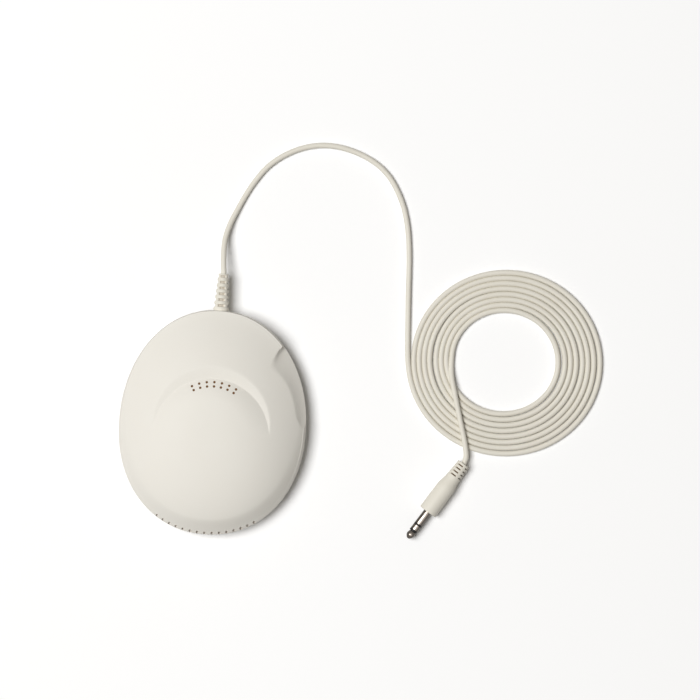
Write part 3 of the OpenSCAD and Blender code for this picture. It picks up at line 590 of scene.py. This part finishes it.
def mark_painted_slot_shade(piece, sink, first_row):
    """Keeps on the mesh how deep each point lies in a slot, as a share of painted shade. The slots
    start at the row.
    """
    depth = np.zeros(len(piece.data.vertices))
    first = first_row * sink.shape[1]
    depth[first:first + sink.size] = sink.ravel()
    piece.data.attributes.new("painted_slot_shade", "FLOAT", "POINT").data.foreach_set("value", depth)


# %% Strain relief
RELIEF_L, RELIEF_D, RELIEF_TIP_D, RELIEF_RINGS = 15.5, 6.6, 4.4, 6
# The third number here is the share of painted shade in the relief's slots.
RELIEF_LAST_SHARE, RELIEF_SOFT, RELIEF_PAINTED_SHADE = 0.25, 0.2, 0.4
FLANGE_R, FLANGE_START, FLANGE_END = 4.8, -5, -3.4
SLOT_SPAN, SLOT_SHARE, SLOT_FLOOR_R = 62, 0.38, 1.5
RING_DIP, NEXT_RING = 0.15, 2.23


def ring_dip(place, pitch):
    """0 in the middle of each ring and 1 at its two edges. Along the ring the way runs from
    -1 to 1, and on to the next ring over the slot, where the dip goes back to 0."""
    half = pitch * (1 - SLOT_SHARE) / 2
    way = (place % pitch - half) / half
    over_slot = np.maximum(0, NEXT_RING - way) / (NEXT_RING - 1)
    return np.where(way > 1, over_slot, np.abs(way))


relief_pitch = RELIEF_L / (RELIEF_RINGS + RELIEF_LAST_SHARE)
relief_place = np.linspace(0, RELIEF_L - RELIEF_SOFT, 190)
relief_taper = (RELIEF_D - RELIEF_TIP_D) / 2 / RELIEF_L
relief_r = (RELIEF_D / 2 - relief_taper * relief_place
            - RING_DIP * ring_dip(relief_place, relief_pitch) ** 2)
relief_sink = slot_sink(SIDE_ANGLES[None, :], relief_place[:, None], RELIEF_RINGS, relief_pitch,
                        relief_pitch * (1 - SLOT_SHARE), relief_pitch * SLOT_SHARE, SLOT_SPAN)
relief_radius = relief_r[:, None] - (relief_r[:, None] - SLOT_FLOOR_R) * relief_sink
neck = [(FLANGE_R, FLANGE_START), (FLANGE_R, FLANGE_END), (RELIEF_D / 2, FLANGE_END),
        (RELIEF_D / 2, -0.1)]
tip = [(RELIEF_TIP_D / 2 - 0.06, RELIEF_L - 0.08), (RELIEF_TIP_D / 2 - RELIEF_SOFT, RELIEF_L),
       (CORD_R, RELIEF_L)]
relief_rows = slotted_rows((0, HOUSING_L / 2, PARTING_Z), (0, 1, 0), (0, 0, 1),
                           neck, relief_radius, relief_place, tip)
relief = grid_piece("strain_relief_moulding", relief_rows, "strain_relief", slot="cord_pvc")
# Painted shade: the relief's slots are darkened in colour by a share of their depth.
mark_painted_slot_shade(relief, RELIEF_PAINTED_SHADE * relief_sink, len(neck))

# %% [markdown]
# ## The plug
# A 3.5 mm jack with three contacts. The rubber body is slotted where the cord enters, then
# swells to the grip. The contacts are turned from brass and nickel plated. The tip has a
# long inner rod, which carries the black insulator and the other contacts.

# %% Plug body
PLUG_BASE, PLUG_TURN = (107.3, -9.9, 4), math.radians(237.2)
PLUG_AXIS = (math.cos(PLUG_TURN), math.sin(PLUG_TURN), 0)
PLUG_DOWN = (0, 0, -1)
PLUG_R, PLUG_L, TAIL_D, TAIL_L, TAIL_ROWS = 4, 25.4, 5.5, 7.4, 4
TAIL_FIRST, TAIL_SLOT, TAIL_TURN = 0.6, 0.28, np.pi / 8
SWELL_L, TAIL_FLARE, RIM_R, COLLAR_R, COLLAR_DEPTH = 6, 0.4, 0.4, 2.9, 0.9
ENTRY_SOFT, STEM_R = 0.25, 0.9
tail_pitch = TAIL_L / (TAIL_ROWS + 0.5)
tail_place = np.linspace(ENTRY_SOFT, TAIL_L, 90)
tail_r = TAIL_D / 2 + TAIL_FLARE * tail_place / TAIL_L
tail_sink = slot_sink(SIDE_ANGLES[None, :] - TAIL_TURN, tail_place[:, None], TAIL_ROWS, tail_pitch,
                      tail_pitch * TAIL_FIRST, tail_pitch * TAIL_SLOT, SLOT_SPAN)
tail_radius = tail_r[:, None] - (tail_r[:, None] - SLOT_FLOOR_R) * tail_sink
swell_f = np.linspace(0.06, 1, 18)
swell_from = TAIL_D / 2 + TAIL_FLARE
swell_r = swell_from + (PLUG_R - swell_from) * (1 - np.cos(np.pi * swell_f)) / 2
grip = softened([(PLUG_R, TAIL_L + SWELL_L), (PLUG_R, PLUG_L), (COLLAR_R, PLUG_L),
                 (COLLAR_R, PLUG_L - COLLAR_DEPTH), (STEM_R, PLUG_L - COLLAR_DEPTH)], RIM_R, 7)
grip = np.vstack([np.column_stack([swell_r, TAIL_L + SWELL_L * swell_f]), grip[1:]])
entry = softened([(CORD_R * 0.8, 0), (TAIL_D / 2, 0), (TAIL_D / 2, 0.3)], ENTRY_SOFT)[:-1]
plug_rows = slotted_rows(PLUG_BASE, PLUG_AXIS, PLUG_DOWN, entry, tail_radius, tail_place, grip)
plug_body = grid_piece("plug_moulding", plug_rows, "plug_body", slot="cord_pvc")
# Painted shade: the tail's slots are darkened in colour as deep as they sink.
mark_painted_slot_shade(plug_body, tail_sink, len(entry))

# %% Contacts and insulating rings
PIN_R, SLEEVE_L, RING_L, BAND_L, PIN_L = 1.75, 6.4, 2.3, 0.8, 14
CRIMP_R, COLLAR_SUNK, COLLAR_PLAY = 1.5, 0.3, 0.02
ROD_R, ROD_PLAY, ROD_START = 0.6, 0.01, PLUG_L - 4
SHARP_TURNED_EDGE = math.radians(50)


def turned_part(name, profile, replaced, edge, slot="nickel"):
    """A part turned on the plug's axis from a profile of radius and place, whose corners
    are rounded by the size of the edge."""
    r, place = softened(profile, edge).T
    rows = round_rows(PLUG_BASE, PLUG_AXIS, PLUG_DOWN, r, place, 96)
    made = grid_piece(name, rows, replaced, slot=slot)
    made.data.set_sharp_from_angle(angle=SHARP_TURNED_EDGE)
    return made


collar = turned_part("plug_collar_turned", [
    (CRIMP_R, PLUG_L - COLLAR_DEPTH), (COLLAR_R - COLLAR_PLAY, PLUG_L - COLLAR_DEPTH),
    (COLLAR_R - COLLAR_PLAY, PLUG_L - COLLAR_SUNK), (CRIMP_R, PLUG_L - COLLAR_SUNK)],
    "plug_collar", edge=0.12)
sleeve_end = PLUG_L + SLEEVE_L
sleeve = turned_part("plug_sleeve_turned", [
    (STEM_R, PLUG_L - COLLAR_DEPTH), (CRIMP_R, PLUG_L - COLLAR_DEPTH),
    (CRIMP_R, PLUG_L - COLLAR_SUNK), (PIN_R, PLUG_L - COLLAR_SUNK), (PIN_R, sleeve_end),
    (STEM_R, sleeve_end)], "plug_sleeve", edge=0.08)
ring_start = sleeve_end + BAND_L
ring_end = ring_start + RING_L
ring = turned_part("plug_ring_turned", [
    (STEM_R, ring_start), (PIN_R, ring_start), (PIN_R, ring_end), (STEM_R, ring_end)],
    "plug_ring", edge=0.12)
tip_start = ring_end + BAND_L
tip_l = PLUG_L + PIN_L - tip_start
BULB = [(0.72, 0), (0.8, 0.1), (0.95, 0.36), (1, 0.47), (0.97, 0.55), (0.88, 0.66), (0.7, 0.79),
        (0.5, 0.9), (0.34, 0.97), (0.16, 1), (0.02, 1)]
tip_contact = turned_part("plug_tip_turned", [(ROD_R, ROD_START), (ROD_R, tip_start)] + [
    (PIN_R * r, tip_start + tip_l * f) for r, f in BULB], "plug_tip", edge=0.05)
bands = turned_part("plug_insulator_turned", [
    (ROD_R + ROD_PLAY, ROD_START), (STEM_R, ROD_START), (STEM_R, sleeve_end),
    (PIN_R, sleeve_end), (PIN_R, ring_start), (STEM_R, ring_start), (STEM_R, ring_end),
    (PIN_R, ring_end), (PIN_R, tip_start), (ROD_R + ROD_PLAY, tip_start)],
    "plug_insulators", edge=0.05, slot="black_insulator")

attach(cord, "root")
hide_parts("cord_run", "cord_coil", "cord_end")
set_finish(cord, "cord_pvc")

# %% [markdown]
# ## Shader maths
# A finish is a small sum of patterns. Written as nodes it is hard to read, so one class
# wraps a socket: adding or multiplying two of them adds the Math node that does it.

# %% Sockets that can be added and multiplied
class Value:
    """One output socket. a + b, a - 1 and 2 * a each add a Math node."""

    def __init__(self, finish, socket):
        self.finish, self.socket = finish, socket

    def math(self, operation, first, second):
        return self.finish.node("ShaderNodeMath", {"operation": operation}, {0: first, 1: second})

    def __add__(self, other):
        return self.math("ADD", self, other)

    def __sub__(self, other):
        return self.math("SUBTRACT", self, other)

    def __mul__(self, other):
        return self.math("MULTIPLY", self, other)

    __radd__ = __add__
    __rmul__ = __mul__


class Finish:
    """A procedural material. Its node() adds one node and gives back an output socket."""

    def __init__(self, name, **constants):
        self.material = bpy.data.materials.new(name)
        self.material.use_nodes = True
        self.nodes = self.material.node_tree.nodes
        self.links = self.material.node_tree.links
        self.shader = self.nodes["Principled BSDF"]
        self.set(**constants)

    def plug(self, socket, value):
        """Links a Value to the input socket, or writes a plain value into it."""
        if isinstance(value, Value):
            self.links.new(value.socket, socket)
        else:
            socket.default_value = value

    def set(self, **values):
        """Sets inputs of the main shader by name, with _ for a space."""
        for name, value in values.items():
            self.plug(self.shader.inputs[name.replace("_", " ")], value)

    def node(self, kind, settings=None, sockets=None, output=0):
        made = self.nodes.new(kind)
        for name, value in (settings or {}).items():
            setattr(made, name, value)
        for name, value in (sockets or {}).items():
            self.plug(made.inputs[name], value)
        return Value(self, made.outputs[output])

    def place(self):
        """The point on the piece, in metres."""
        return self.node("ShaderNodeTexCoord", output="Object")

    def noise(self, size, detail=2.0, rough=0.5):
        """Cloudy pattern from 0 to 1, whose patches are about the size in metres."""
        return self.node("ShaderNodeTexNoise", None, {
            "Vector": self.place(), "Scale": 1 / size, "Detail": detail, "Roughness": rough})

    def blend(self, share, first, second):
        """The first colour where the share is 0, and the second where it is 1."""
        return self.node("ShaderNodeMix", {"data_type": "RGBA"}, {
            0: share, 6: first, 7: second}, output=2)

    def bump(self, height, depth, strength=1.0):
        """Turns a height from 0 to 1 into a relief of the depth in metres."""
        return self.node("ShaderNodeBump", None, {
            "Height": height, "Distance": depth, "Strength": strength})


def srgb(red, green, blue):
    """A colour as the eye reads it, from 0 to 255, as the light values that Blender wants."""
    c = np.array([red, green, blue]) / 255
    light = np.where(c <= 0.04045, c / 12.92, ((c + 0.055) / 1.055) ** 2.4)
    return (*light.tolist(), 1.0)


# %% [markdown]
# ## Finishes
# Each finish starts from its plain colour and adds what the real one shows: the fine
# spark texture of a moulding, the drawn skin of a cord, turning marks on metal, a weave.
# Holes and slots in ivory plastic get a painted shade: a brown tone in their colour. On bright
# metal a painted reflection makes the lower side dark.

# %% Moulded and extruded plastics
def moulded_plastic(name, colour, deep, roughness, grain, depth, slot=None, **more):
    """Satin plastic: a faint mottle in the colour, an even gloss that varies a little, and the
    fine grain that the mould's surface leaves. Holes and slots can get a painted shade, a darker
    tone in the colour where the mesh marks them, and more inputs of the shader can be set."""
    f = Finish(name, IOR=1.5, Specular_IOR_Level=0.2)
    mottle = f.noise(0.012, 3.0)
    fine = f.noise(grain, 2.0, 0.6)
    tone = f.blend(mottle, srgb(*colour), srgb(*deep))
    # Painted shade: holes and slots are darkened to the slot tone by their mark.
    if slot:
        tone = f.blend(f.node("ShaderNodeAttribute", {"attribute_name": "painted_slot_shade"}, output=2),
                       tone, srgb(*slot))
    f.set(Base_Color=tone,
          Roughness=roughness - 0.04 + 0.08 * f.noise(0.004) + 0.04 * fine,
          Normal=f.bump(fine, depth, 0.5), **more)
    return f.material


# The last colour of each plastic is a painted shade for holes and slots.
housing_plastic = moulded_plastic("ivory housing plastic", (237, 234, 226), (236, 232, 223),
                                  0.55, 0.00022, 0.000012, (150, 120, 88))
cord_pvc = moulded_plastic("ivory cord PVC", (233, 229, 218), (227, 222, 209),
                           0.46, 0.0004, 0.00002, (112, 88, 62))

# %% Metals
# Painted reflection: the nickel is dark below the first height and bright above the second.
PAINTED_REFLECTION_DARK_TO_Z, PAINTED_REFLECTION_BRIGHT_FROM_Z = 0.0055, 0.0058


def turned_metal(name, colour, dull, roughness, mark, depth, painted_reflection_dark=None):
    """Bright plated metal with fine scratches and slightly duller patches. Where a dark tone is
    given, a painted reflection keeps only the plug's upper side bright and darkens its lower side,
    as if a room were mirrored in it."""
    f = Finish(name, Metallic=1.0)
    marks = f.noise(mark, 3.0, 0.7)
    cloud = f.noise(0.0015, 2.0)
    tone = f.blend(cloud, srgb(*colour), srgb(*dull))
    # Painted reflection: dark below a height on the plug, bright above it.
    if painted_reflection_dark:
        height = f.node("ShaderNodeSeparateXYZ", None, {0: f.place()}, output=2)
        painted_reflection_share = f.node("ShaderNodeMapRange", {"interpolation_type": "SMOOTHSTEP"}, {
            "Value": height, "From Min": PAINTED_REFLECTION_DARK_TO_Z, "From Max": PAINTED_REFLECTION_BRIGHT_FROM_Z})
        tone = f.blend(painted_reflection_share, srgb(*painted_reflection_dark), tone)
    f.set(Base_Color=tone,
          Roughness=roughness + 0.1 * marks - 0.05 + 0.06 * cloud,
          Normal=f.bump(marks, depth, 0.4))
    return f.material


# The last colour is the painted dark reflection on the plug's lower side.
nickel = turned_metal("bright nickel plate", (204, 193, 182), (180, 169, 158),
                      0.24, 0.0002, 0.000004, (92, 86, 80))
plated_steel = turned_metal("zinc plated steel", (196, 200, 204), (168, 172, 178),
                            0.34, 0.0005, 0.00001)
solder = turned_metal("solder", (190, 192, 194), (150, 152, 156), 0.38, 0.0004, 0.00002)
copper_wire = turned_metal("copper wire", (214, 128, 84), (182, 96, 58), 0.3, 0.0003, 0.000006)

# %% Dark, soft and woven finishes
black_insulator = moulded_plastic("black insulator", (30, 29, 28), (22, 21, 21),
                                  0.4, 0.0003, 0.000008)
red_core = moulded_plastic("red core", (176, 30, 26), (158, 24, 22), 0.42, 0.0005, 0.00001)
black_core = moulded_plastic("black core", (28, 28, 30), (20, 20, 22), 0.42, 0.0005, 0.00001)
ferrite = moulded_plastic("ferrite", (58, 57, 58), (44, 43, 45), 0.62, 0.0006, 0.00004)
grey_foam = moulded_plastic("grey foam", (92, 92, 94), (70, 70, 72), 0.9, 0.0009, 0.0003)
board_laminate = moulded_plastic("board laminate", (160, 116, 62), (136, 92, 46),
                                 0.5, 0.0008, 0.00002)
WAVE_L = 0.314


def woven_cloth(name, colour, deep, thread):
    """Plain weave: two sets of waves at right angles, one wave to a thread. A wave is 0.314
    long at a scale of 1. The faint glow stands for light that the small holes would lose."""
    f = Finish(name, Roughness=0.9, Sheen_Weight=0.2, Emission_Strength=0.8,
               Emission_Color=srgb(*colour))
    bands = [f.node("ShaderNodeTexWave", {"bands_direction": way, "wave_type": "BANDS"}, {
        "Vector": f.place(), "Scale": WAVE_L / thread, "Distortion": 0.3}, output="Fac")
        for way in ("X", "Y")]
    weave = bands[0] * bands[1] + 0.2 * f.noise(thread)
    f.set(Base_Color=f.blend(weave, srgb(*deep), srgb(*colour)), Normal=f.bump(weave, 0.00015))
    return f.material


brown_cloth = woven_cloth("brown cloth", (124, 92, 62), (84, 60, 40), 0.0005)
clear_film = moulded_plastic("clear film", (206, 204, 196), (192, 190, 180), 0.25, 0.002, 0.00001,
                             Transmission_Weight=0.5, IOR=1.45)

# %% Every piece and every CAD node gets its finish
FINISHES = {"housing_plastic": housing_plastic, "cord_pvc": cord_pvc, "plated_steel": plated_steel,
            "nickel": nickel, "ferrite": ferrite, "copper_wire": copper_wire, "solder": solder,
            "brown_cloth": brown_cloth, "grey_foam": grey_foam, "clear_film": clear_film,
            "board_laminate": board_laminate, "red_core": red_core, "black_core": black_core,
            "black_insulator": black_insulator}
made_pieces = [cord, front_cover, rear_cover, relief, plug_body, collar, sleeve, ring,
               tip_contact, bands]
for piece in made_pieces:
    piece.data.materials.clear()
    piece.data.materials.append(FINISHES[piece["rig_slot"]])
slot_of = {part["node"]: part["material_slot"] for part in frame["record"]["subparts"]}
for node_name, node in nodes.items():
    for material_slot in node.material_slots:
        material_slot.material = FINISHES[slot_of[node_name]]
print("finishes:", len(FINISHES), "on", len(made_pieces), "pieces and", len(nodes), "CAD nodes")

# %% [markdown]
# ## Floor and light
# The photograph has a white background and a soft light from the left, whose shadows lie
# close to the right of every piece. The floor is plain and pale. Where the camera or a
# shiny piece sees it, it is a little paler, so that only the shadows show on white. The
# world adds a little warm light from all sides, and one large lamp stands high on the left.

# %% Floor
FLOOR_HALF, FLOOR_Z = 190, -0.05
FLOOR_TONE, SEEN_TONE = 0.8, 1.08


def seen(f):
    """1 for what the camera, a gloss or a clear piece sees, and 0 for light that bounces."""
    path = {name: f.node("ShaderNodeLightPath", output=name)
            for name in ("Is Camera Ray", "Is Glossy Ray", "Is Transmission Ray")}
    return f.node("ShaderNodeMath", {"operation": "ADD", "use_clamp": True}, {
        0: path["Is Camera Ray"] + path["Is Glossy Ray"], 1: path["Is Transmission Ray"]})


floor_finish = Finish("pale floor")
plain, paler = (floor_finish.node("ShaderNodeBsdfDiffuse", None, {"Color": (tone, tone, tone, 1)})
                for tone in (FLOOR_TONE, SEEN_TONE))
shown = floor_finish.node("ShaderNodeMixShader", None, {0: seen(floor_finish), 1: plain, 2: paler})
floor_finish.links.new(shown.socket, floor_finish.nodes["Material Output"].inputs["Surface"])

corners = np.array([(-1, -1), (1, -1), (1, 1), (-1, 1)]) * FLOOR_HALF + VIEW_CENTRE
corners = np.column_stack([corners, np.full(len(corners), FLOOR_Z)]) * MM
floor_mesh = bpy.data.meshes.new("floor")
floor_mesh.from_pydata(corners.tolist(), [], [(0, 1, 2, 3)])
floor_mesh.materials.append(floor_finish.material)
floor = bpy.data.objects.new("floor", floor_mesh)
bpy.context.scene.collection.objects.link(floor)

# %% World and lamp
world = bpy.data.worlds.new("studio")
world.use_nodes = True
bpy.context.scene.world = world


class WorldFinish(Finish):
    """The same node maths on the world's tree."""

    def __init__(self, tree):
        self.nodes, self.links = tree.nodes, tree.links


studio = WorldFinish(world.node_tree)
AMBIENT = 0.11
WARM, WHITE = (1, 0.95, 0.86, 1), (1, 1, 1, 1)
studio.plug(studio.nodes["Background"].inputs["Color"], studio.blend(seen(studio), WARM, WHITE))
studio.plug(studio.nodes["Background"].inputs["Strength"], AMBIENT + (1 - AMBIENT) * seen(studio))


def soft_lamp(name, place, aim, size, power):
    """A square area lamp at a place in millimetres that looks at the aim."""
    data = bpy.data.lights.new(name, "AREA")
    data.size = size * MM
    data.energy = power
    lamp = bpy.data.objects.new(name, data)
    direction = np.array(aim, float) - np.array(place, float)
    flat = math.hypot(direction[0], direction[1])
    lamp.location = [v * MM for v in place]
    lamp.rotation_euler = (math.atan2(flat, -direction[2]), 0,
                           math.atan2(direction[1], direction[0]) - math.pi / 2)
    bpy.context.scene.collection.objects.link(lamp)


soft_lamp("key", place=(-1160, 93, 3000), aim=(50, 30, 0), size=1700, power=97)

# %% Bring the scene up to date
bpy.context.view_layer.update()
